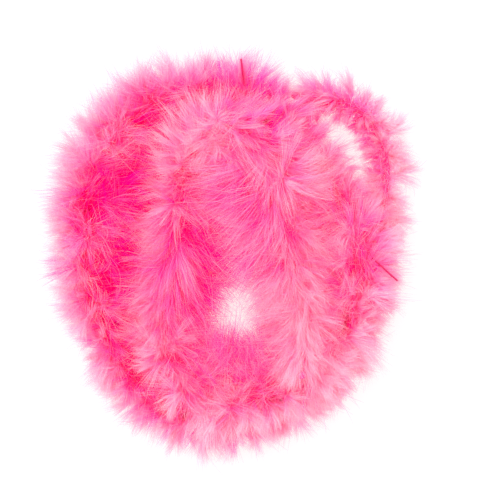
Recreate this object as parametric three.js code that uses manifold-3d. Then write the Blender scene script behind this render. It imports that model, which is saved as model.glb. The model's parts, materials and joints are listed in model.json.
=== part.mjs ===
// A marabou feather boa, lying in a loose coil of three turns.
//
// Hundreds of downy plumes are bound by their quills to one thin cord.  Here the cord is a tube along
// its whole route, and the plumes are gathered into bunches: a sleeve of bound quills round the cord,
// with flat tapering plumes standing out of it.  Each end of the cord is whipped with thread and
// knotted, and two bare quills stick out of the fluff.
//
// Millimetres, +Z up.  The coil lies on z = 0, centred on the Z axis.

import * as THREE from 'three';
import { mergeVertices } from 'three/addons/utils/BufferGeometryUtils.js';
import Module from 'manifold-3d';

// ---- driving dimensions ---------------------------------------------------------------------------

const coilScale = 1;            // grows or shrinks the plan of the coil, and so the boa's length
const layerScale = 1;           // grows or shrinks the heights at which the turns lie
const cordDiameter = 3.6;
const quillClearance = 0.4;     // between the cord and the quills bound round it
const quillWall = 1.1;          // thickness of the layer of bound quills
const bunchCount = 36;
const plumeLength = 40;         // from the cord's axis to the tip of a full plume
const sparsePlumeLength = 29;   // the same where the boa is thin, along its lower end
const plumeHalfWidth = 5.4;
const plumeHalfThickness = 1.1;
const knotDiameter = 8.5;
const whippingWall = 0.8;
const bareEnd = 12;             // length of cord left free of plumes at each end
const looseQuillLength = 38;
const looseQuillDiameter = 1.8;

// ---- fixed proportions and clearances -------------------------------------------------------------

const cordSides = 8;
const sleeveSides = 6;
const quillSides = 6;
const pieceGap = 0.4;           // between pieces that meet end to end
const turnClearance = 1.2;      // kept between the plumes of one turn and those of another
const sparseStretch = 150;      // length of the thin stretch at the lower end
const fillingStretch = 110;     // length over which the plumes then grow to full size
const plumesPerRow = 3;
const rowShares = [0.25, 0.5, 0.75];  // where along a bunch its rows of plumes stand
const rowLeans = [-8, 0, 8];    // degrees that each row of a bunch leans along the cord
const rowTurns = [0, 40, 80];   // degrees that each row is turned round the cord
const firstPlumeTurn = 270;     // straight down
const widestShare = 0.45;       // where along its length a plume is widest
const rootHalfWidth = 1.6;
const shortestPlume = 9;
const quillRootShare = 0.7;     // the bound end of a bare quill is thinner than its free end
const plumeStep = 1;            // a plume that lacks room is shortened by this much at a time
const routeSamples = 480;

// ---- the cord's route -----------------------------------------------------------------------------

// From the lower end, clockwise seen from above.  Each point is x, y and height.
const routePoints = [
  [64, 151, 28], [99, 147, 28], [129, 129, 28], [143, 91, 28], [140, 44, 28], [134, -6, 27],
  [119, -58, 27], [89, -106, 27], [42, -138, 27], [-14, -150, 27], [-66, -131, 27], [-107, -81, 27],
  [-129, -21, 27], [-132, 42, 27], [-116, 100, 27], [-75, 139, 28], [-24, 153, 32], [23, 141, 40],
  [62, 103, 44], [98, 57, 50], [118, 7, 59], [107, -50, 60], [74, -99, 60], [26, -122, 59],
  [-24, -124, 57], [-54, -93, 51], [-61, -34, 45], [-50, 26, 48], [-43, 71, 57], [-36, 96, 65],
  [-17, 115, 72], [5, 119, 76], [26, 106, 77], [39, 82, 74], [48, 50, 69], [57, 4, 67], [65, -46, 75],
  [63, -94, 89],
].map(([x, y, z]) => new THREE.Vector3(x * coilScale, y * coilScale, z * layerScale));

const route = new THREE.CatmullRomCurve3(routePoints, false, 'catmullrom', 0.5);
route.arcLengthDivisions = 2000;
const routeLength = route.getLength();

const up = new THREE.Vector3(0, 0, 1);
const radians = THREE.MathUtils.degToRad;

const cordRadius = cordDiameter / 2;
const boreRadius = (cordRadius + quillClearance) / Math.cos(Math.PI / sleeveSides);
const sleeveRadius = boreRadius + quillWall;

const bunchLength = (routeLength - 2 * bareEnd) / bunchCount;
const bunchStart = (bunch) => bareEnd + bunch * bunchLength;

/** A stretch of the route that passes exactly through the given distances along it. */
class Stretch extends THREE.Curve {
  constructor(distances) {
    super();
    this.distances = distances;
  }

  distanceAt(share) {
    const steps = this.distances.length - 1;
    const step = Math.min(Math.floor(share * steps + 1e-9), steps - 1);
    return THREE.MathUtils.lerp(this.distances[step], this.distances[step + 1], share * steps - step);
  }

  getPointAt(share) {
    return route.getPointAt(THREE.MathUtils.clamp(this.distanceAt(share) / routeLength, 0, 1));
  }

  getTangentAt(share) {
    return route.getTangentAt(THREE.MathUtils.clamp(this.distanceAt(share) / routeLength, 0, 1));
  }
}

// ---- geometry helpers -----------------------------------------------------------------------------

function polygonPoints(radius, sides) {
  const corner = (_, i) => {
    const angle = (2 * Math.PI * (i + 0.5)) / sides;
    return new THREE.Vector2(radius * Math.cos(angle), radius * Math.sin(angle));
  };
  return Array.from({ length: sides }, corner);
}

/** A tube, or a ring section if it has a bore, along a stretch of the route. */
function sweep(distances, radius, sides, bore = 0) {
  const section = new THREE.Shape(polygonPoints(radius, sides));
  if (bore > 0) {
    section.holes.push(new THREE.Path(polygonPoints(bore, sides)));
  }
  const steps = distances.length - 1;
  return new THREE.ExtrudeGeometry(section, { steps, extrudePath: new Stretch(distances) });
}

/** A closed turned shape standing on the origin along +Z, from a profile of [radius, height] pairs. */
function turned(profile, sides) {
  const points = profile.map(([radius, height]) => new THREE.Vector2(radius, height));
  return new THREE.LatheGeometry(points, sides).rotateX(Math.PI / 2);
}

const wasm = await Module();
wasm.setup();

function toSolid(geometry) {
  const bare = geometry.clone();
  bare.deleteAttribute('normal');
  bare.deleteAttribute('uv');
  const merged = mergeVertices(bare, 1e-4);
  const triangles = [];
  for (let i = 0; i < merged.index.count; i += 3) {
    const corners = [0, 1, 2].map((k) => merged.index.getX(i + k));
    if (new Set(corners).size === 3) {
      triangles.push(...corners);
    }
  }
  return new wasm.Manifold(new wasm.Mesh({
    numProp: 3,
    vertProperties: new Float32Array(merged.attributes.position.array),
    triVerts: new Uint32Array(triangles),
  }));
}

function toGeometry(solid) {
  const mesh = solid.getMesh();
  const geometry = new THREE.BufferGeometry();
  geometry.setAttribute('position', new THREE.BufferAttribute(mesh.vertProperties, 3));
  geometry.setIndex(new THREE.BufferAttribute(mesh.triVerts, 1));
  geometry.computeVertexNormals();
  return geometry;
}

/** The route's place and direction at a distance along it, with axes to its side and above it. */
function frameAt(distance) {
  const share = THREE.MathUtils.clamp(distance / routeLength, 0, 1);
  const along = route.getTangentAt(share);
  const side = new THREE.Vector3().crossVectors(along, up).normalize();
  const above = new THREE.Vector3().crossVectors(side, along);
  return { place: route.getPointAt(share), along, side, above };
}

/** A place on the axis of a bunch's sleeve, which is straight on each side of its middle. */
function onSleeve(bunch, share) {
  const half = share < 0.5 ? 0 : 1;
  const [from, to] = [half, half + 1].map((step) => (
    route.getPointAt((bunchStart(bunch) + (step * bunchLength) / 2) / routeLength)
  ));
  return from.lerp(to, 2 * share - half);
}

// ---- room for the plumes --------------------------------------------------------------------------

const samples = Array.from({ length: routeSamples + 1 }, (_, i) => {
  const distance = (routeLength * i) / routeSamples;
  return { distance, place: route.getPointAt(i / routeSamples) };
});

/** True if a point belongs to the stretch from start to end: nearer to it than to the rest. */
function hasRoom(point, start, end) {
  let own = Infinity;
  let other = Infinity;
  for (const sample of samples) {
    const gap = sample.place.distanceTo(point);
    if (sample.distance >= start && sample.distance <= end) {
      own = Math.min(own, gap);
    } else {
      const nextDoor = Math.abs(sample.distance - (start + end) / 2) < 2 * bunchLength;
      other = Math.min(other, nextDoor ? gap : gap - turnClearance);
    }
  }
  return own < other && point.z >= 0;
}

/** The length of a full plume at a distance along the boa: its lower end is thin. */
function fullLength(distance) {
  const filled = THREE.MathUtils.smoothstep(distance, sparseStretch, sparseStretch + fillingStretch);
  return THREE.MathUtils.lerp(sparsePlumeLength, plumeLength, filled);
}

// ---- materials ------------------------------------------------------------------------------------

const plumeMaterial = new THREE.MeshStandardMaterial({ color: 0xff4f96, roughness: 0.9, metalness: 0 });
const cordMaterial = new THREE.MeshStandardMaterial({ color: 0xe0186a, roughness: 0.85, metalness: 0 });
const threadMaterial = new THREE.MeshStandardMaterial({ color: 0xf03c86, roughness: 0.7, metalness: 0 });
const quillMaterial = new THREE.MeshStandardMaterial({ color: 0xb0104e, roughness: 0.4, metalness: 0 });

const boa = new THREE.Group();
boa.name = 'feather_boa';

function addPiece(name, geometry, material) {
  const piece = new THREE.Mesh(geometry, material);
  piece.name = name;
  boa.add(piece);
}

// ---- plume bunches --------------------------------------------------------------------------------

/** One flat plume from the cord's axis outwards, as long as its room allows, or null. */
function plume(root, direction, flat, longest, start, end) {
  const sideways = new THREE.Vector3().crossVectors(flat, direction).normalize();
  const toFloor = direction.z < 0 ? root.z / -direction.z : Infinity;
  const innerEnd = boreRadius + quillWall / 2;
  for (let length = Math.min(longest, toFloor); length >= shortestPlume; length -= plumeStep) {
    const reach = length - innerEnd;
    const at = (share, across, thick) => root.clone()
      .addScaledVector(direction, innerEnd + share * reach)
      .addScaledVector(flat, across)
      .addScaledVector(sideways, thick);
    const corners = [
      at(1, 0, 0),
      at(widestShare, plumeHalfWidth, 0),
      at(widestShare, -plumeHalfWidth, 0),
      at(widestShare, 0, plumeHalfThickness),
      at(widestShare, 0, -plumeHalfThickness),
    ];
    if (corners.every((corner) => hasRoom(corner, start, end))) {
      const profile = [[0, 0], [rootHalfWidth, 0], [plumeHalfWidth, widestShare * reach], [0, reach]];
      const leaf = turned(profile, 4).scale(1, plumeHalfThickness / plumeHalfWidth, 1);
      const placed = new THREE.Matrix4().makeBasis(flat, sideways.clone().negate(), direction);
      placed.setPosition(at(0, 0, 0));
      return leaf.applyMatrix4(placed);
    }
  }
  return null;
}

function bunchGeometry(bunch) {
  const start = bunchStart(bunch);
  const middle = start + bunchLength / 2;
  const end = start + bunchLength;
  const ends = [start + pieceGap / 2, end - pieceGap / 2];
  let solid = toSolid(sweep([ends[0], middle, ends[1]], sleeveRadius, sleeveSides, boreRadius));
  const roomStart = bunch === 0 ? 0 : start + pieceGap;
  const roomEnd = bunch === bunchCount - 1 ? routeLength : end - pieceGap;
  const rootPlaces = rowShares.map((share) => onSleeve(bunch, share));
  rowLeans.forEach((lean, row) => {
    const { along, side, above } = frameAt(start + bunchLength * rowShares[row]);
    const leaning = new THREE.Vector3();
    for (let i = 0; i < plumesPerRow; i += 1) {
      const turn = radians(firstPlumeTurn + rowTurns[row] + (360 * i) / plumesPerRow);
      const outward = side.clone().multiplyScalar(Math.cos(turn)).addScaledVector(above, Math.sin(turn));
      leaning.copy(along).multiplyScalar(Math.sin(radians(lean)));
      const direction = outward.clone().multiplyScalar(Math.cos(radians(lean))).add(leaning).normalize();
      const flat = along.clone().addScaledVector(direction, -along.dot(direction)).normalize();
      const leaf = plume(rootPlaces[row], direction, flat, fullLength(middle), roomStart, roomEnd);
      if (leaf) {
        solid = solid.add(toSolid(leaf));
      }
    }
  });
  return toGeometry(solid);
}

for (let bunch = 0; bunch < bunchCount; bunch += 1) {
  const name = `plume_bunch_${String(bunch + 1).padStart(2, '0')}`;
  addPiece(name, bunchGeometry(bunch), plumeMaterial);
}

// ---- the cord -------------------------------------------------------------------------------------

// The cord is cut where its two ends are lifted: each cut lies between two bunches.
const cordPieces = [
  { name: 'core_cord_lower_tip', bunches: [0, 2] },
  { name: 'core_cord_lower_root', bunches: [2, 3] },
  { name: 'core_cord_coil', bunches: [3, 32] },
  { name: 'core_cord_upper_root', bunches: [32, 34] },
  { name: 'core_cord_upper_tip', bunches: [34, bunchCount] },
];

for (const { name, bunches: [first, last] } of cordPieces) {
  const distances = [];
  for (let half = 2 * first; half <= 2 * last; half += 1) {
    distances.push(bareEnd + (half * bunchLength) / 2);
  }
  if (first === 0) {
    distances.unshift(0);
  } else {
    distances[0] += pieceGap / 2;
  }
  if (last === bunchCount) {
    distances.push(routeLength);
  } else {
    distances[distances.length - 1] -= pieceGap / 2;
  }
  addPiece(name, sweep(distances, cordRadius, cordSides), cordMaterial);
}

// ---- whippings and knots at the two ends ----------------------------------------------------------

function whippingGeometry(nearest) {
  const distances = nearest < routeLength / 2
    ? [pieceGap, bareEnd - pieceGap]
    : [routeLength - bareEnd + pieceGap, routeLength - pieceGap];
  return toGeometry(toSolid(sweep(distances, boreRadius + whippingWall, sleeveSides, boreRadius)));
}

function knotGeometry(distance, outwardSign) {
  const { place, along } = frameAt(distance);
  const outward = along.multiplyScalar(outwardSign);
  const radius = knotDiameter / 2;
  const centre = place.clone().addScaledVector(outward, radius + pieceGap);
  const turnToEnd = new THREE.Quaternion().setFromUnitVectors(new THREE.Vector3(0, 1, 0), outward);
  const ball = new THREE.SphereGeometry(radius, 10, 7).applyQuaternion(turnToEnd);
  return toGeometry(toSolid(ball.translate(centre.x, centre.y, centre.z)));
}

addPiece('end_whipping_lower', whippingGeometry(0), threadMaterial);
addPiece('end_whipping_upper', whippingGeometry(routeLength), threadMaterial);
addPiece('end_knot_lower', knotGeometry(0, -1), cordMaterial);
addPiece('end_knot_upper', knotGeometry(routeLength, 1), cordMaterial);

// ---- bare quills ----------------------------------------------------------------------------------

// A plume that was bound back to front leaves its bare quill outside the fluff.
const looseQuills = [
  { name: 'bare_quill_top', bunch: 17, share: 0.68, heading: [-0.12, 1, 0.6] },
  { name: 'bare_quill_side', bunch: 21, share: 0.14, heading: [0.75, -0.7, 0.3] },
];

for (const { name, bunch, share, heading } of looseQuills) {
  const { along } = frameAt(bunchStart(bunch) + share * bunchLength);
  const direction = new THREE.Vector3(...heading).normalize();
  const radius = looseQuillDiameter / 2;
  const rootRadius = radius * quillRootShare;
  const profile = [[0, 0], [rootRadius, 0], [radius, looseQuillLength * 0.8],
    [radius, looseQuillLength - radius], [0, looseQuillLength]];
  const stand = new THREE.Quaternion().setFromUnitVectors(up, direction);
  const clearOfSleeve = (sleeveRadius + pieceGap + rootRadius) / Math.sin(direction.angleTo(along));
  const foot = onSleeve(bunch, share).addScaledVector(direction, clearOfSleeve);
  const quill = turned(profile, quillSides).applyQuaternion(stand).translate(foot.x, foot.y, foot.z);
  addPiece(name, toGeometry(toSolid(quill)), quillMaterial);
}

export default boa;
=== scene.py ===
# A hot pink marabou feather boa, lying in a loose coil of three turns on a pale floor.
# Metres throughout, in the frame of the CAD model.
import json
import math

import bpy
import numpy as np
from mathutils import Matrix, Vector


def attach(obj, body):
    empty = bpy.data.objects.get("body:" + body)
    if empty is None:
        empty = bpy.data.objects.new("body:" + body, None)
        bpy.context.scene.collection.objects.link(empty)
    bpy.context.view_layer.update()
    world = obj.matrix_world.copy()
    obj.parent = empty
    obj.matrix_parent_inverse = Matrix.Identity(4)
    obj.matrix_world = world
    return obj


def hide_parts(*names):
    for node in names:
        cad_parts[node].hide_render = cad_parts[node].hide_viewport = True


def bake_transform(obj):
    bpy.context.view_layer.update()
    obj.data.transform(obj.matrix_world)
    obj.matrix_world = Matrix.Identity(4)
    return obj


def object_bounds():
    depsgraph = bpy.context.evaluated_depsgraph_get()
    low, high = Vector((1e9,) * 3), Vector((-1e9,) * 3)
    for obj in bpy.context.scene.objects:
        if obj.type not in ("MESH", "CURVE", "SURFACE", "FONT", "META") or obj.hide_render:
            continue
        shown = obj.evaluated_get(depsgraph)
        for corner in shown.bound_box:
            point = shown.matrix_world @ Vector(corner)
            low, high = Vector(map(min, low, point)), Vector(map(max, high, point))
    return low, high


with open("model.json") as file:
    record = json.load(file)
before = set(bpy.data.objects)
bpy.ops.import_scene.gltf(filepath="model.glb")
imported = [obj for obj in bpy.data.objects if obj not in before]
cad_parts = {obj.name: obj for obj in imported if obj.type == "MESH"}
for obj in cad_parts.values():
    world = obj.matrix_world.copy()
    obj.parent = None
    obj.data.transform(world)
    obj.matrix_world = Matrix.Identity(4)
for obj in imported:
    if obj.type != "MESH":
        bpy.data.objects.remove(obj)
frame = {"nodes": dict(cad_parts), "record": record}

CAD_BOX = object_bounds()
NODES = frame["nodes"]
BODIES = frame["record"]["behaviour"]["bodies"]
MM = 0.001

# ---- sizes -----------------------------------------------------------------------------------------

# The cord's route, from the lower end: x, y and height in metres.
ROUTE_POINTS = np.array([
    (0.064, 0.151, 0.028), (0.099, 0.147, 0.028), (0.129, 0.129, 0.028), (0.143, 0.091, 0.028),
    (0.140, 0.044, 0.028), (0.134, -0.006, 0.027), (0.119, -0.058, 0.027), (0.089, -0.106, 0.027),
    (0.042, -0.138, 0.027), (-0.014, -0.150, 0.027), (-0.066, -0.131, 0.027), (-0.107, -0.081, 0.027),
    (-0.129, -0.021, 0.027), (-0.132, 0.042, 0.027), (-0.116, 0.100, 0.027), (-0.075, 0.139, 0.028),
    (-0.024, 0.153, 0.032), (0.023, 0.141, 0.040), (0.062, 0.103, 0.044), (0.098, 0.057, 0.050),
    (0.118, 0.007, 0.059), (0.107, -0.050, 0.060), (0.074, -0.099, 0.060), (0.026, -0.122, 0.059),
    (-0.024, -0.124, 0.057), (-0.054, -0.093, 0.051), (-0.061, -0.034, 0.045), (-0.050, 0.026, 0.048),
    (-0.043, 0.071, 0.057), (-0.036, 0.096, 0.065), (-0.017, 0.115, 0.072), (0.005, 0.119, 0.076),
    (0.026, 0.106, 0.077), (0.039, 0.082, 0.074), (0.048, 0.050, 0.069), (0.057, 0.004, 0.067),
    (0.065, -0.046, 0.075), (0.063, -0.094, 0.089),
])
CORD_DIAMETER = 3.6 * MM
BARE_END = 12 * MM                  # cord left free of plumes at each end
BUNCH_COUNT = 36

# The plumes of a bunch.
PLUMES_PER_BUNCH = 24
INWARD_CROWDING = 0.42              # how much closer together they stand on the coil's inner side
TURN_SCATTER = 0.25                 # radians
LIE_SCATTER = 17                    # degrees
REACH_SCATTER = 0.10                # as a share of the reach
TOP_SHORTENING = 0.15               # plumes on top stand up less than those at the sides reach out
TOP_LIE = 0.5                       # they also lie further along the cord
TOP_FLOP = 0.25                     # and flop over to the nearer side

# The shaft of a plume.
SHAFT_SHARE = 0.34                  # its length as a share of the plume's whole reach
SHAFT_RADIUS = 0.22 * MM
SHAFT_SEGMENTS = 8
SHAFT_SIDES = 4
SHAFT_TIP = 0.25                    # radius at the tip, as a share of SHAFT_RADIUS
SHAFT_FOOT = 0.7                    # distance of its foot from the cord's axis, in cord diameters
SHAFT_CURL = 0.35                   # how far it turns on the way that it lies
SHAFT_DROOP = 0.2
INNER_DROOP = 0.3                   # further droop on the coil's inner side
SHAFT_SCATTER = 0.2
BUTT_LENGTH = 4 * MM                # the bound end of each quill, which lies along the cord

# The wisps, locks of barbs along both edges of each shaft.
WISPS_PER_PLUME = 14
BARBS_PER_WISP = 20
BARB_LENGTH = 36 * MM               # at the standard reach
STANDARD_REACH = 42 * MM
BARB_SEGMENTS = 5
BARB_WIDTH = 0.28 * MM
BARB_TAPER = np.array([1.0, 1.0, 0.95, 0.85, 0.65, 0.3])
FOOT_ANGLE = 52                     # degrees between wisps and shaft, at the shaft's foot
TIP_ANGLE = 16                      # and at its tip
ANGLE_SCATTER = 12                  # degrees
EDGE_SCATTER = 0.7                  # radians that a wisp stands out of the flat of its plume
WISP_CURL = 0.35                    # how far wisps turn towards the shaft's direction
WISP_DROOP = 0.2
PLUME_BEND_SCATTER = 0.25           # shared by the wisps of one plume
WISP_BEND_SCATTER = 0.35            # shared by the barbs of one wisp
WISP_LENGTHS = (0.75, 1.15)         # shortest and longest, as shares of the usual length
TIP_SHORTENING = 0.35               # wisps at the shaft's tip are shorter by this share
BARB_SPACING_SCATTER = 0.05         # as a share of the shaft
BARB_HEADING_SCATTER = 0.15
BARB_BEND_SCATTER = 0.25
BARB_LENGTHS = (0.5, 1.25)          # as shares of their wisp's length
WISP_GATHER = 0.5                   # how far the tips of a wisp draw together
PLUME_TONES = (0.2, 0.8)            # range of the plumes' own tones
WISP_TONE_SCATTER = 0.18
BARB_TONE_SCATTER = 0.14

# The underdown, short curly down that hides the cord.
UNDERDOWN_PER_BUNCH = 1000
UNDERDOWN_SEGMENTS = 3
UNDERDOWN_WIDTH = 0.40 * MM
UNDERDOWN_TAPER = np.array([1.0, 1.0, 0.8, 0.3])
UNDERDOWN_LENGTHS = (0.35, 0.75)    # as shares of the plumes' reach
UNDERDOWN_LIE_SCATTER = 0.6
UNDERDOWN_CURL = 0.5
UNDERDOWN_TONES = (0.05, 0.8)

# Strays, long single barbs that curl over the rest.
STRAYS_PER_BUNCH = 170
STRAY_SEGMENTS = 8
STRAY_WIDTHS = (0.5, 0.12)          # at root and tip, in millimetres
STRAY_LENGTHS = (0.6, 1.1)          # as shares of the plume's reach
STRAY_HEADING_SCATTER = 0.45
STRAY_CURL = 0.95
STRAY_DROOP = 0.3
STRAY_TONE = 0.8

# The thread wound over the quill butts at the middle of each bunch.
BINDING_TURNS = 5
BINDING_PITCH = 0.8 * MM
BINDING_RADIUS = 0.78               # in cord diameters
THREAD_RADIUS = 0.2 * MM
THREAD_SIDES = 5

# How the down lies on the floor, on itself and beside the bare quills.
FLOOR_GAP = 0.3 * MM                # the lowest down lies this far above the floor
FLOOR_SOFTNESS = 4 * MM             # how gradually the down is pressed flat there
SETTLING_HEIGHT = 110 * MM          # down that stands higher than this settles under its own weight
SETTLING_DEPTH = 18 * MM            # and never stands higher than this above it
BARE_QUILLS = ["bare_quill_top", "bare_quill_side"]
PARTING_START = 0.3                 # the down parts over a bare quill beyond this share of its length
PARTING_WIDTH = 3 * MM
PARTING_SLOPE = 1.6                 # how steeply the down rises on both sides of the parting
PARTING_DEPTH = 6 * MM              # how gradually the down sinks into it

# Painted light and shade: the down is painted paler on top of the coil and deeper low inside it, where less
# light reaches.
MIDDLE_HEIGHT = 52 * MM
PAINTED_LIGHT_ABOVE = 8.0                    # paler by this per metre above that height
PAINTED_SHADE_BELOW = 20.0                   # deeper by this per metre below it, inside the coil

# Along the boa: distance, reach of the plumes on the coil's outer side and on its inner side, how far
# the plumes lie along the cord, in degrees, towards the upper end if positive, how full the boa is, and
# how much paler it is painted on the outer side and on the inner side: painted light where positive,
# painted shade where negative, for how each stretch is lit.
FLUFF_STATIONS = np.array([
    (0.000, 0.040, 0.034, -62, 0.6, 0.2, 0.2), (0.030, 0.036, 0.030, -35, 0.6, 0.3, 0.3),
    (0.060, 0.032, 0.024, -10, 0.6, 0.4, 0.4), (0.120, 0.029, 0.024, 5, 0.5, 0.6, 0.6),
    (0.180, 0.029, 0.034, 15, 0.6, 0.6, 0.5), (0.240, 0.028, 0.050, 12, 0.8, 0.5, 0.3),
    (0.300, 0.030, 0.054, 5, 0.9, 0.3, 0.0), (0.360, 0.033, 0.054, 0, 0.9, 0.3, -0.2),
    (0.480, 0.033, 0.054, 0, 0.9, 0.3, -0.3), (0.540, 0.036, 0.058, 0, 1.0, 0.3, -0.2),
    (0.600, 0.039, 0.066, 0, 1.1, 0.4, -0.2), (0.660, 0.042, 0.078, 0, 1.2, 0.4, -0.4),
    (0.720, 0.043, 0.086, 0, 1.2, 0.4, -0.4), (0.780, 0.045, 0.086, 5, 1.2, 0.3, -0.3),
    (0.840, 0.048, 0.072, 5, 1.0, 0.2, -0.1), (0.900, 0.048, 0.056, 5, 1.0, 0.0, -0.3),
    (0.960, 0.042, 0.052, 5, 1.0, 0.0, 0.0), (1.000, 0.029, 0.056, 0, 1.0, 0.1, 0.0),
    (1.040, 0.032, 0.068, 0, 1.0, 0.1, -0.2), (1.080, 0.043, 0.074, 0, 1.1, 0.0, -0.3),
    (1.140, 0.034, 0.074, 0, 1.1, 0.2, -0.2), (1.200, 0.037, 0.074, 0, 1.0, 0.3, -0.4),
    (1.260, 0.042, 0.074, 0, 1.0, 0.3, -0.4), (1.320, 0.043, 0.064, -15, 1.0, 0.2, -0.2),
    (1.380, 0.042, 0.060, -28, 1.0, 0.2, -0.2), (1.420, 0.042, 0.066, -32, 1.1, 0.2, -0.2),
    (1.450, 0.044, 0.082, -28, 1.2, 0.2, -0.3), (1.490, 0.044, 0.074, -34, 1.1, 0.2, -0.3),
    (1.512, 0.038, 0.044, 0, 1.0, 0.0, 0.0), (1.535, 0.050, 0.054, 30, 1.0, 0.1, -0.1),
    (1.570, 0.054, 0.068, 24, 1.0, 0.0, -0.2), (1.590, 0.036, 0.074, 20, 1.0, -0.5, -0.3),
    (1.620, 0.048, 0.080, 20, 1.2, -0.2, -0.4), (1.670, 0.060, 0.084, 26, 1.2, 0.1, -0.3),
    (1.700, 0.060, 0.078, 32, 1.2, 0.2, -0.2), (1.740, 0.058, 0.055, 38, 1.1, 0.0, 0.0),
    (1.790, 0.051, 0.049, 42, 1.0, 0.0, 0.0), (1.823, 0.045, 0.045, 55, 1.0, 0.0, 0.0),
])


def rng_for(name):
    """A random generator of its own for each piece, always the same for the same name."""
    return np.random.default_rng(sum(ord(c) * (i + 1) for i, c in enumerate(name)))


def unit(v):
    return v / np.maximum(np.linalg.norm(v, axis=-1, keepdims=True), 1e-12)


# ---- the route -------------------------------------------------------------------------------------

def catmull_rom(points, per_span):
    """Uniform Catmull-Rom curve through the points, as the CAD model draws it."""
    ends = np.vstack([2 * points[0] - points[1], points, 2 * points[-1] - points[-2]])
    t = np.linspace(0, 1, per_span, endpoint=False)[:, None]
    spans = []
    for p0, p1, p2, p3 in zip(ends, ends[1:], ends[2:], ends[3:]):
        m1 = (p2 - p0) / 2
        m2 = (p3 - p1) / 2
        spans.append(
            (2 * p1 - 2 * p2 + m1 + m2) * t**3 + (-3 * p1 + 3 * p2 - 2 * m1 - m2) * t**2 + m1 * t + p1
        )
    return np.vstack(spans + [points[-1:]])


POINTS_PER_SPAN = 60

LINE = catmull_rom(ROUTE_POINTS, POINTS_PER_SPAN)
LINE_DISTANCE = np.concatenate([[0], np.cumsum(np.linalg.norm(np.diff(LINE, axis=0), axis=1))])
ROUTE_LENGTH = LINE_DISTANCE[-1]
LINE_ALONG = unit(np.gradient(LINE, LINE_DISTANCE, axis=0))
BUNCH_LENGTH = (ROUTE_LENGTH - 2 * BARE_END) / BUNCH_COUNT


def on_line(distance, values):
    distance = np.asarray(distance, float)
    return np.stack([np.interp(distance, LINE_DISTANCE, values[:, k]) for k in range(3)], axis=-1)


def frame_at(distance):
    """Place, direction, and the axes to the side and above, at distances along the route."""
    along = unit(on_line(distance, LINE_ALONG))
    side = unit(np.cross(along, [0.0, 0.0, 1.0]))
    return on_line(distance, LINE), along, side, np.cross(side, along)


def station_values(distance):
    """Outer and inner reach, lie, fullness, outer and inner painted light and shade (paleness) at distances
    along the route.
    """
    return [np.interp(distance, FLUFF_STATIONS[:, 0], values) for values in FLUFF_STATIONS[:, 1:].T]


def fluff_at(distance, turn):
    """Reach and lie of plumes at distances along the route, turned from the inner side by an angle."""
    outer, inner, lie = station_values(distance)[:3]
    reach = outer + (inner - outer) * (0.5 + 0.5 * np.cos(turn))
    return reach * (1 - TOP_SHORTENING * np.maximum(np.sin(turn), 0)), np.radians(lie)


# ---- mesh helpers ----------------------------------------------------------------------------------

UV_NAME = "OFBake"
UV_HALF_WIDTH = 0.004


class MeshParts:
    """Collects vertices, quads, texture places and material numbers for one mesh."""

    def __init__(self):
        self.points, self.quads, self.uvs, self.slots = [], [], [], []
        self.count = 0

    def add(self, points, quads, uvs, slot):
        self.points.append(points.reshape(-1, 3))
        self.quads.append(quads.reshape(-1, 4) + self.count)
        self.uvs.append(uvs.reshape(-1, 2))
        self.slots.append(np.full(quads.size // 4, slot))
        self.count += points.size // 3

    def ribbons(self, lines, widths, across, uvs, slot):
        """Flat ribbons of down: lines (n, points, 3), widths (points,) or (n, points), across like lines."""
        half = np.asarray(widths)[..., None] / 2
        lines = parted(lines)
        left, right = lines - across * half, lines + across * half
        n, m = lines.shape[:2]
        points = np.stack([left, right], axis=2)
        row = np.arange(n)[:, None] * (2 * m) + np.arange(m - 1)[None] * 2
        quads = np.stack([row, row + 1, row + 3, row + 2], axis=-1)
        shift = np.array([-UV_HALF_WIDTH, UV_HALF_WIDTH])
        both = np.repeat(uvs[:, :, None, :], 2, axis=2)
        both[..., 0] += shift
        self.add(points, quads, both, slot)

    def tubes(self, lines, radii, sides, uvs, slot):
        """Round tubes, open at the ends, along lines (n, points, 3), with radii (n, points)."""
        n, m = lines.shape[:2]
        along = unit(np.gradient(lines, axis=1))
        guide = np.where(np.abs(along[..., 2:3]) > 0.8, [1.0, 0.0, 0.0], [0.0, 0.0, 1.0])
        first = unit(np.cross(along, guide))
        second = np.cross(along, first)
        angle = 2 * np.pi * np.arange(sides) / sides
        ring = (first[:, :, None] * np.cos(angle)[:, None] + second[:, :, None] * np.sin(angle)[:, None])
        points = lines[:, :, None] + ring * np.asarray(radii)[..., None, None]
        start = np.arange(n)[:, None, None] * (m * sides) + np.arange(m - 1)[None, :, None] * sides
        k = np.arange(sides)
        quads = np.stack([start + k, start + (k + 1) % sides, start + sides + (k + 1) % sides,
                          start + sides + k], axis=-1)
        both = np.repeat(uvs[:, :, None, :], sides, axis=2)
        both[..., 0] += UV_HALF_WIDTH * np.cos(angle)
        self.add(points, quads, both, slot)

    def build(self, name, materials):
        points, quads = np.vstack(self.points), np.vstack(self.quads)
        points[:, 2] = settled(points[:, 2])
        mesh = bpy.data.meshes.new(name)
        mesh.vertices.add(len(points))
        mesh.vertices.foreach_set("co", points.astype(np.float32).ravel())
        mesh.loops.add(quads.size)
        mesh.loops.foreach_set("vertex_index", quads.astype(np.int32).ravel())
        mesh.polygons.add(len(quads))
        mesh.polygons.foreach_set("loop_start", np.arange(0, quads.size, 4, dtype=np.int32))
        mesh.polygons.foreach_set("material_index", np.concatenate(self.slots).astype(np.int32))
        layer = mesh.uv_layers.new(name=UV_NAME)
        layer.data.foreach_set("uv", np.vstack(self.uvs)[quads.ravel()].astype(np.float32).ravel())
        mesh.update(calc_edges=True)
        for material in materials:
            mesh.materials.append(material)
        piece = bpy.data.objects.new(name, mesh)
        bpy.context.scene.collection.objects.link(piece)
        return piece


def sunk(height, start, depth):
    """Heights with all that stands above start sunk to less than depth above it."""
    over = np.maximum(height - start, 0)
    return np.minimum(height, start) + depth * (1 - np.exp(-over / depth))


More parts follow.
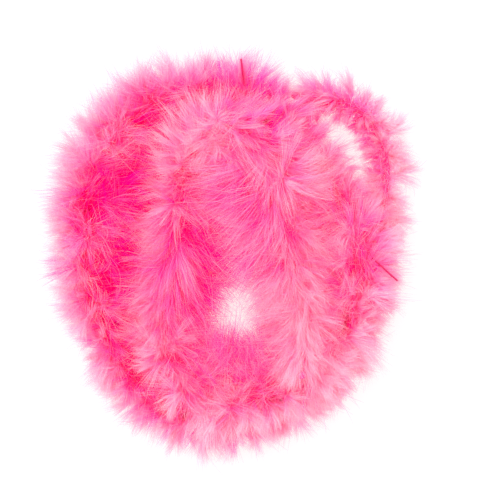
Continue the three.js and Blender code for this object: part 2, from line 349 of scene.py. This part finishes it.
def settled(height):
    """Heights with what would reach the floor pressed flat above it, and the highest down sunk a little."""
    height = FLOOR_GAP + FLOOR_SOFTNESS * np.logaddexp(0, (height - FLOOR_GAP) / FLOOR_SOFTNESS)
    return sunk(height, SETTLING_HEIGHT, SETTLING_DEPTH)


def quill_ends(node):
    """Foot and tip of a bare quill: its nearest and its farthest point from the cord."""
    piece = NODES[node]
    points = np.array([piece.matrix_world @ corner.co for corner in piece.data.vertices])
    away = np.linalg.norm(points[:, None] - LINE[None, ::10], axis=-1).min(axis=1)
    return points[away.argmin()], points[away.argmax()]


QUILL_ENDS = [quill_ends(node) for node in BARE_QUILLS]


def parted(points):
    """Points of the down, with those above a bare quill sunk below it, so that the quill shows."""
    points = points.copy()
    for foot, tip in QUILL_ENDS:
        run = (tip - foot)[:2]
        share = np.clip((points[..., :2] - foot[:2]) @ run / (run @ run), PARTING_START, 1)
        nearest = foot + share[..., None] * (tip - foot)
        away = np.linalg.norm((points - nearest)[..., :2], axis=-1)
        ceiling = nearest[..., 2] + PARTING_SLOPE * (away - PARTING_WIDTH / 2)
        points[..., 2] = sunk(points[..., 2], ceiling - PARTING_DEPTH, PARTING_DEPTH)
    return points


def grow(roots, directions, bends, lengths, segments):
    """Lines (n, segments + 1, 3) that start along directions and turn steadily towards bends."""
    t = (np.arange(segments) + 0.5) / segments
    heading = unit(directions[:, None] + bends[:, None] * t[None, :, None])
    steps = heading * (lengths[:, None, None] / segments)
    return np.concatenate([roots[:, None], roots[:, None] + np.cumsum(steps, axis=1)], axis=1)


# ---- materials -------------------------------------------------------------------------------------

def new_material(name, roughness):
    material = bpy.data.materials.new(name)
    material.use_nodes = True
    tree = material.node_tree
    shader = tree.nodes["Principled BSDF"]
    shader.inputs["Roughness"].default_value = roughness
    return material, tree, shader


# The ramp from deep to pale and the saturation follow the texture places, so besides the dye they carry
# painted light on top of the coil and painted shade low inside it and near the cord.
DOWN_DEEP = (1.0, 0.035, 0.5, 1)
DOWN_MIDDLE = (1.0, 0.23, 0.68, 1)
DOWN_PALE = (1.0, 0.56, 0.71, 1)
DOWN_MIDDLE_PLACE = 0.55            # between deep at 0 and pale at 1
DOWN_SATURATION = (1.28, 0.72)      # of the deepest and the palest barbs
DOWN_THROUGH = 0.65                 # share of the light that goes on through a barb
DOWN_WARMING = 0.51                 # hue of the light that comes through; 0.5 is the same hue


def down_material():
    """Dyed down: thin fibres that let light through, deeper at the root, partly the dye and partly painted
    shade near the cord, each barb its own tone, with painted light and shade carried in by the texture
    places.
    """
    material, tree, shader = new_material("marabou_down", 0.7)
    nodes, links = tree.nodes, tree.links
    place = nodes.new("ShaderNodeUVMap")
    place.uv_map = UV_NAME
    split = nodes.new("ShaderNodeSeparateXYZ")
    links.new(place.outputs["UV"], split.inputs[0])
    ramp = nodes.new("ShaderNodeValToRGB")
    ramp.color_ramp.elements[0].color = DOWN_DEEP
    ramp.color_ramp.elements[1].color = DOWN_PALE
    ramp.color_ramp.elements.new(DOWN_MIDDLE_PLACE).color = DOWN_MIDDLE
    links.new(split.outputs["Y"], ramp.inputs[0])
    tone = nodes.new("ShaderNodeMapRange")
    tone.inputs["To Min"].default_value = DOWN_SATURATION[0]
    tone.inputs["To Max"].default_value = DOWN_SATURATION[1]
    links.new(split.outputs["X"], tone.inputs["Value"])
    hue = nodes.new("ShaderNodeHueSaturation")
    links.new(tone.outputs[0], hue.inputs["Saturation"])
    links.new(ramp.outputs["Color"], hue.inputs["Color"])
    links.new(hue.outputs["Color"], shader.inputs["Base Color"])
    shader.inputs["Specular IOR Level"].default_value = 0.2
    warmer = nodes.new("ShaderNodeHueSaturation")
    warmer.inputs["Hue"].default_value = DOWN_WARMING
    links.new(hue.outputs["Color"], warmer.inputs["Color"])
    through = nodes.new("ShaderNodeBsdfTranslucent")
    links.new(warmer.outputs["Color"], through.inputs["Color"])
    mix = nodes.new("ShaderNodeMixShader")
    mix.inputs[0].default_value = DOWN_THROUGH
    links.new(shader.outputs[0], mix.inputs[1])
    links.new(through.outputs[0], mix.inputs[2])
    links.new(mix.outputs[0], nodes["Material Output"].inputs["Surface"])
    return material


def plain_material(name, dark, light, roughness, scale):
    """A dyed fibre or quill: two tones mixed by fine noise."""
    material, tree, shader = new_material(name, roughness)
    nodes, links = tree.nodes, tree.links
    place = nodes.new("ShaderNodeTexCoord")
    noise = nodes.new("ShaderNodeTexNoise")
    noise.inputs["Scale"].default_value = scale
    links.new(place.outputs["Object"], noise.inputs["Vector"])
    ramp = nodes.new("ShaderNodeValToRGB")
    ramp.color_ramp.elements[0].color = (*dark, 1)
    ramp.color_ramp.elements[1].color = (*light, 1)
    links.new(noise.outputs["Fac"], ramp.inputs[0])
    links.new(ramp.outputs["Color"], shader.inputs["Base Color"])
    return material


DOWN = down_material()
CORD = plain_material("dyed_cord", (0.75, 0.015, 0.17), (1.0, 0.08, 0.33), 0.85, 900)
SHAFT = plain_material("dyed_shaft", (0.85, 0.05, 0.26), (1.0, 0.16, 0.42), 0.5, 500)
THREAD = plain_material("dyed_thread", (0.7, 0.01, 0.14), (0.95, 0.08, 0.3), 0.6, 1200)
QUILL = plain_material("dyed_quill", (0.32, 0.0, 0.055), (0.55, 0.01, 0.12), 0.35, 400)
BUNCH_MATERIALS = [DOWN, SHAFT, THREAD]
DOWN_SLOT, SHAFT_SLOT, THREAD_SLOT = range(3)


# ---- camera ----------------------------------------------------------------------------------------

VIEW_CENTRE = (0.0175, 0.0103)      # the coil lies a little left of and below the middle of the view
VIEW_WIDTH = 0.4465                 # width of the view, at the height of the coil's middle
VIEW_HEIGHT = 1.5


def add_camera():
    data = bpy.data.cameras.new("camera")
    middle = CAD_BOX[1][2] / 2
    data.lens = data.sensor_width * (VIEW_HEIGHT - middle) / VIEW_WIDTH
    camera = bpy.data.objects.new("camera", data)
    camera.location = (*VIEW_CENTRE, VIEW_HEIGHT)
    bpy.context.scene.collection.objects.link(camera)
    bpy.context.scene.camera = camera


add_camera()


# ---- the core cord ---------------------------------------------------------------------------------

RING_STEP = 1.5 * MM
CORD_SIDES = 12
PLY_PITCH = 11 * MM
PLY_GROOVE = 0.16                   # depth of the groove between the two plies, as a share of radius


def cord_piece(name, start, end, node):
    """A stretch of the two-ply cord from start to end, which may run towards the lower end."""
    rings = int(round(abs(end - start) / RING_STEP)) + 1
    distance = np.linspace(start, end, rings)
    place, along, side, above = frame_at(distance)
    angle = 2 * np.pi * np.arange(CORD_SIDES) / CORD_SIDES
    twist = 2 * np.pi * distance[:, None] / PLY_PITCH
    radius = CORD_DIAMETER / 2 * (1 - PLY_GROOVE * (0.5 - 0.5 * np.cos(2 * (angle - twist))))
    ring = side[:, None] * np.cos(angle)[:, None] + above[:, None] * np.sin(angle)[:, None]
    points = place[:, None] + ring * radius[..., None]
    first = np.arange(rings - 1)[:, None] * CORD_SIDES
    k = np.arange(CORD_SIDES)
    quads = np.stack([first + k, first + (k + 1) % CORD_SIDES,
                      first + CORD_SIDES + (k + 1) % CORD_SIDES, first + CORD_SIDES + k], axis=-1)
    if end > start:
        quads = quads[..., ::-1]
    parts = MeshParts()
    uvs = np.stack(np.broadcast_arrays(angle / (2 * np.pi), distance[:, None] * 10 % 1), axis=-1)
    parts.add(points, quads, uvs, 0)
    piece = parts.build(name, [CORD])
    for polygon in piece.data.polygons:
        polygon.use_smooth = True
    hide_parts(node)
    return piece


# Where the stretches of cord meet, well clear of the hinges; four of the five cross a hinge.
TIP_CUT = 137 * MM
LOWER_CUT = 300 * MM
COIL_CUT = 1560 * MM
UPPER_CUT = 1660 * MM


def bunch_start(bunch):
    return BARE_END + bunch * BUNCH_LENGTH


def bend_at(piece):
    """Bakes the piece's placement into its mesh; the piece is not attached to a body and does not bend."""
    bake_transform(piece)


def add_cord():
    coil = cord_piece("cord_coil", LOWER_CUT, COIL_CUT, "core_cord_coil")
    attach(coil, "coil")
    piece = cord_piece("cord_lower_tip", TIP_CUT, 0, "core_cord_lower_tip")
    bend_at(piece)
    piece = cord_piece("cord_lower_root", LOWER_CUT, TIP_CUT, "core_cord_lower_root")
    bend_at(piece)
    piece = cord_piece("cord_upper_root", COIL_CUT, UPPER_CUT, "core_cord_upper_root")
    bend_at(piece)
    piece = cord_piece("cord_upper_tip", UPPER_CUT, ROUTE_LENGTH, "core_cord_upper_tip")
    bend_at(piece)


# ---- plume bunches ---------------------------------------------------------------------------------

GOLDEN_TURN = math.pi * (3 - math.sqrt(5))
DOWNWARD = np.array([0.0, 0.0, -1.0])


def plumes_in(bunch):
    fullness = station_values(bunch_start(bunch) + BUNCH_LENGTH / 2)[3]
    return int(round(PLUMES_PER_BUNCH * fullness))


def shafts(rng, bunch):
    """The plumes of one bunch: lines of their shafts, reaches, distances along the cord, how far
    they point into the coil from 0 to 1, and the ends of their quills."""
    index = np.arange(plumes_in(bunch))
    distance = bunch_start(bunch) + (index + rng.uniform(0.1, 0.9, index.size)) / index.size * BUNCH_LENGTH
    place, along, side, above = frame_at(distance)
    turn = (bunch * PLUMES_PER_BUNCH + index) * GOLDEN_TURN
    turn = turn + rng.normal(0, TURN_SCATTER, index.size)
    turn = turn - INWARD_CROWDING * np.sin(turn)
    outward = side * np.cos(turn)[:, None] + above * np.sin(turn)[:, None]
    reach, lie = fluff_at(distance, turn)
    lie = lie * (1 + TOP_LIE * np.maximum(np.sin(turn), 0))
    lie = lie + np.radians(rng.normal(0, LIE_SCATTER, index.size))
    reach = reach * rng.normal(1.0, REACH_SCATTER, index.size)
    heading = outward * np.cos(lie)[:, None] + along * np.sin(lie)[:, None]
    flop = TOP_FLOP * side * (np.sign(np.cos(turn)) * np.maximum(np.sin(turn), 0))[:, None]
    inward = 0.5 + 0.5 * np.cos(turn)
    droop = (SHAFT_DROOP + INNER_DROOP * inward)[:, None] * DOWNWARD
    curl = SHAFT_CURL * along * np.sin(lie)[:, None]
    bend = curl + droop + flop + rng.normal(0, SHAFT_SCATTER, (index.size, 3))
    root = place + outward * CORD_DIAMETER * SHAFT_FOOT
    lines = grow(root, heading, bend, reach * SHAFT_SHARE, SHAFT_SEGMENTS)
    back = np.sign(np.sum(heading * along, axis=1, keepdims=True))
    return lines, reach, distance, inward, root - along * back * BUTT_LENGTH


def wisps(rng, lines, reach):
    """Barbs in wisps along both edges of each shaft, as lines (plume, wisp, barb, points, 3)."""
    n, m = lines.shape[:2]
    shape = (n, WISPS_PER_PLUME)
    each = (*shape, BARBS_PER_WISP)
    centre = (np.arange(WISPS_PER_PLUME) + rng.uniform(0.1, 0.9, shape)) / WISPS_PER_PLUME
    share = np.clip(centre[..., None] + rng.normal(0, BARB_SPACING_SCATTER, each), 0, 1)
    pick = np.arange(n)[:, None]

    def on_shaft(where):
        at = where * (m - 1)
        low = np.minimum(at.astype(int), m - 2)
        row = pick.reshape(n, *[1] * (where.ndim - 1))
        return lines[row, low] + (lines[row, low + 1] - lines[row, low]) * (at - low)[..., None]

    shaft = unit(lines[:, -1] - lines[:, 0])[:, None]
    flat = unit(np.cross(shaft[:, 0], rng.normal(0, 1, (n, 3))))[:, None]
    lift = np.cross(shaft, flat)
    edge = np.where(np.arange(WISPS_PER_PLUME) % 2 == 0, 1.0, -1.0)
    spread = rng.normal(0, EDGE_SCATTER, shape)
    sideways = flat * (edge * np.cos(spread))[..., None] + lift * np.sin(spread)[..., None]
    angle = FOOT_ANGLE - (FOOT_ANGLE - TIP_ANGLE) * centre + rng.normal(0, ANGLE_SCATTER, shape)
    angle = np.radians(angle)
    heading = shaft * np.cos(angle)[..., None] + sideways * np.sin(angle)[..., None]
    bend = WISP_CURL * shaft + WISP_DROOP * DOWNWARD + rng.normal(0, PLUME_BEND_SCATTER, (n, 1, 3))
    bend = bend + rng.normal(0, WISP_BEND_SCATTER, (*shape, 3))
    length = BARB_LENGTH * (reach / STANDARD_REACH)[:, None] * (1.0 - TIP_SHORTENING * centre**2)
    length = length * rng.uniform(*WISP_LENGTHS, shape)

    middles = grow(on_shaft(centre).reshape(-1, 3), heading.reshape(-1, 3), bend.reshape(-1, 3),
                   length.ravel(), BARB_SEGMENTS)
    own_heading = unit(heading[:, :, None] + rng.normal(0, BARB_HEADING_SCATTER, (*each, 3)))
    own_bend = bend[:, :, None] + rng.normal(0, BARB_BEND_SCATTER, (*each, 3))
    own_length = length[..., None] * rng.uniform(*BARB_LENGTHS, each)
    own = grow(on_shaft(share).reshape(-1, 3), own_heading.reshape(-1, 3), own_bend.reshape(-1, 3),
               own_length.ravel(), BARB_SEGMENTS)
    gather = (WISP_GATHER * np.linspace(0, 1, BARB_SEGMENTS + 1))[:, None]
    middles = middles.reshape(*shape, 1, BARB_SEGMENTS + 1, 3)
    return own.reshape(*each, BARB_SEGMENTS + 1, 3) * (1 - gather) + middles * gather


def across(rng, lines):
    """A direction across each line at each of its points, turned at random about it."""
    along = unit(np.gradient(lines, axis=1))
    return unit(np.cross(along, rng.normal(0, 1, (lines.shape[0], 1, 3))))


def tone_and_painted_shade_uv(lines, tones, distance, reach, inward):
    """Texture places: the barb's tone and its distance out from the cord, deep near the cord partly as dye
    and partly as painted shade, both with painted light high on the coil, painted shade low inside it and
    each stretch's painted light and shade added.
    """
    # Distance out from the cord: deep near it, partly the dye at the root and partly painted shade.
    out = np.linalg.norm(lines - on_line(distance, LINE)[:, None], axis=-1) / reach[:, None]
    # Painted light above the middle height, and painted shade below it on the coil's inner side.
    rise = settled(lines[..., 2]) - MIDDLE_HEIGHT
    shift = np.where(rise > 0, PAINTED_LIGHT_ABOVE * rise, PAINTED_SHADE_BELOW * rise * inward[:, None])
    # Each stretch's painted light and shade, on the outer and on the inner side, is added to both texture
    # places.
    outer, inner = station_values(distance)[4:]
    shift = shift + (outer + (inner - outer) * inward)[:, None]
    return np.stack([np.clip(tones[:, None] + shift, 0.01, 0.99), np.clip(out + shift, 0.01, 0.99)], axis=-1)


def add_wisps(parts, rng, lines, reach, distance, inward):
    barb_lines = wisps(rng, lines, reach)
    n, w, b = barb_lines.shape[:3]
    tones = rng.uniform(*PLUME_TONES, (n, 1, 1)) + rng.normal(0, WISP_TONE_SCATTER, (n, w, 1))
    tones = tones + rng.normal(0, BARB_TONE_SCATTER, (n, w, b))
    barb_lines = barb_lines.reshape(-1, BARB_SEGMENTS + 1, 3)
    plume = np.repeat(np.arange(n), w * b)
    widths = BARB_WIDTH * BARB_TAPER
    uvs = tone_and_painted_shade_uv(barb_lines, tones.ravel(), distance[plume], reach[plume], inward[plume])
    parts.ribbons(barb_lines, np.broadcast_to(widths, barb_lines.shape[:2]), across(rng, barb_lines), uvs,
                  DOWN_SLOT)


def add_underdown(parts, rng, bunch):
    """Short curly down all round the cord."""
    count = UNDERDOWN_PER_BUNCH
    distance = bunch_start(bunch) + rng.uniform(0, 1, count) * BUNCH_LENGTH
    place, along, side, above = frame_at(distance)
    turn = rng.uniform(0, 2 * np.pi, count)
    reach, lie = fluff_at(distance, turn)
    outward = side * np.cos(turn)[:, None] + above * np.sin(turn)[:, None]
    heading = unit(outward + along * (lie + rng.normal(0, UNDERDOWN_LIE_SCATTER, count))[:, None])
    lines = grow(place + outward * CORD_DIAMETER / 2, heading, rng.normal(0, UNDERDOWN_CURL, (count, 3)),
                 reach * rng.uniform(*UNDERDOWN_LENGTHS, count), UNDERDOWN_SEGMENTS)
    widths = UNDERDOWN_WIDTH * UNDERDOWN_TAPER
    uvs = tone_and_painted_shade_uv(lines, rng.uniform(*UNDERDOWN_TONES, count), distance, reach, 0.5 + 0.5 * np.cos(turn))
    parts.ribbons(lines, np.broadcast_to(widths, lines.shape[:2]), across(rng, lines), uvs, DOWN_SLOT)


def add_strays(parts, rng, lines, reach):
    """Long single barbs that curl over the rest."""
    some = rng.integers(0, len(lines), STRAYS_PER_BUNCH)
    start = lines[some, rng.integers(3, SHAFT_SEGMENTS, some.size)]
    shaft = unit(lines[some, -1] - lines[some, 0])
    heading = unit(shaft + rng.normal(0, STRAY_HEADING_SCATTER, (some.size, 3)))
    bend = STRAY_DROOP * DOWNWARD + rng.normal(0, STRAY_CURL, (some.size, 3))
    length = reach[some] * rng.uniform(*STRAY_LENGTHS, some.size)
    stray_lines = grow(start, heading, bend, length, STRAY_SEGMENTS)
    widths = np.linspace(*STRAY_WIDTHS, STRAY_SEGMENTS + 1) * MM
    uvs = np.full((*stray_lines.shape[:2], 2), STRAY_TONE)
    parts.ribbons(stray_lines, np.broadcast_to(widths, stray_lines.shape[:2]), across(rng, stray_lines), uvs,
                  DOWN_SLOT)


def add_binding(parts, bunch):
    """Thread wound over the quill butts at the middle of the bunch."""
    turn = np.linspace(0, 2 * np.pi * BINDING_TURNS, BINDING_TURNS * 10 + 1)
    centre = bunch_start(bunch) + BUNCH_LENGTH / 2
    place, along, side, above = frame_at(centre + (turn / (2 * np.pi) - BINDING_TURNS / 2) * BINDING_PITCH)
    ring = side * np.cos(turn)[:, None] + above * np.sin(turn)[:, None]
    line = (place + ring * CORD_DIAMETER * BINDING_RADIUS)[None]
    uvs = np.full((*line.shape[:2], 2), 0.5)
    parts.tubes(line, np.full(line.shape[:2], THREAD_RADIUS), THREAD_SIDES, uvs, THREAD_SLOT)


def add_bunch(bunch):
    node = f"plume_bunch_{bunch + 1:02d}"
    rng = rng_for(node)
    parts = MeshParts()
    lines, reach, distance, inward, butts = shafts(rng, bunch)
    quills = np.concatenate([butts[:, None], lines], axis=1)
    taper = np.linspace(1, SHAFT_TIP, quills.shape[1])[None]
    parts.tubes(quills, np.repeat(SHAFT_RADIUS * taper, len(quills), axis=0), SHAFT_SIDES,
                tone_and_painted_shade_uv(quills, np.full(len(quills), 0.5), distance, reach, inward), SHAFT_SLOT)
    add_wisps(parts, rng, lines, reach, distance, inward)
    add_underdown(parts, rng, bunch)
    add_strays(parts, rng, lines, reach)
    add_binding(parts, bunch)

    piece = parts.build(node + "_down", BUNCH_MATERIALS)
    body = next(name for name, members in BODIES.items() if node in members)
    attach(piece, body)
    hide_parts(node)


add_cord()
for number in range(BUNCH_COUNT):
    add_bunch(number)


# ---- knots, whippings and bare quills ---------------------------------------------------------------

def dress(node, material):
    piece = NODES[node]
    piece.data.materials.clear()
    piece.data.materials.append(material)


for node in ("end_knot_lower", "end_knot_upper"):
    dress(node, CORD)
for node in ("end_whipping_lower", "end_whipping_upper"):
    dress(node, THREAD)
for node in BARE_QUILLS:
    dress(node, QUILL)


# ---- floor, light and finish -------------------------------------------------------------------------

TABLE_GREY = 0.15
TABLE_GLOW = 0.76                   # the table is lit from within, so that no grey shows through thin down


def add_floor():
    bpy.ops.mesh.primitive_plane_add(size=8, location=(0, 0, 0))
    floor = bpy.context.object
    floor.name = "floor"
    material, _, shader = new_material("lit_table", 0.9)
    shader.inputs["Base Color"].default_value = (TABLE_GREY, TABLE_GREY, TABLE_GREY, 1)
    shader.inputs["Emission Color"].default_value = (1, 1, 1, 1)
    shader.inputs["Emission Strength"].default_value = TABLE_GLOW
    floor.data.materials.append(material)


def add_light(name, place, size, power):
    data = bpy.data.lights.new(name, "AREA")
    data.size = size
    data.energy = power
    light = bpy.data.objects.new(name, data)
    light.location = place
    light.rotation_euler = (Vector((0, 0, 0.05)) - Vector(place)).to_track_quat("-Z", "Y").to_euler()
    bpy.context.scene.collection.objects.link(light)


def add_world():
    world = bpy.data.worlds.new("studio")
    world.use_nodes = True
    background = world.node_tree.nodes["Background"]
    background.inputs["Color"].default_value = (1, 1, 1, 1)
    background.inputs["Strength"].default_value = 1.0
    bpy.context.scene.world = world


add_floor()
add_world()
add_light("overhead", (-0.2, 0.2, 1.8), 1.2, 32)
add_light("key", (-1.0, 0.9, 1.4), 1.2, 10)
add_light("fill", (1.2, -0.8, 1.2), 1.6, 5)
bpy.context.scene.view_settings.view_transform = "Standard"
# Single barbs stay sharp, and light goes through many layers of down before it is lost.
bpy.context.scene.cycles.denoising_prefilter = "NONE"
bpy.context.scene.cycles.diffuse_bounces = 12
bpy.context.scene.cycles.transmission_bounces = 18
bpy.context.scene.cycles.max_bounces = 20
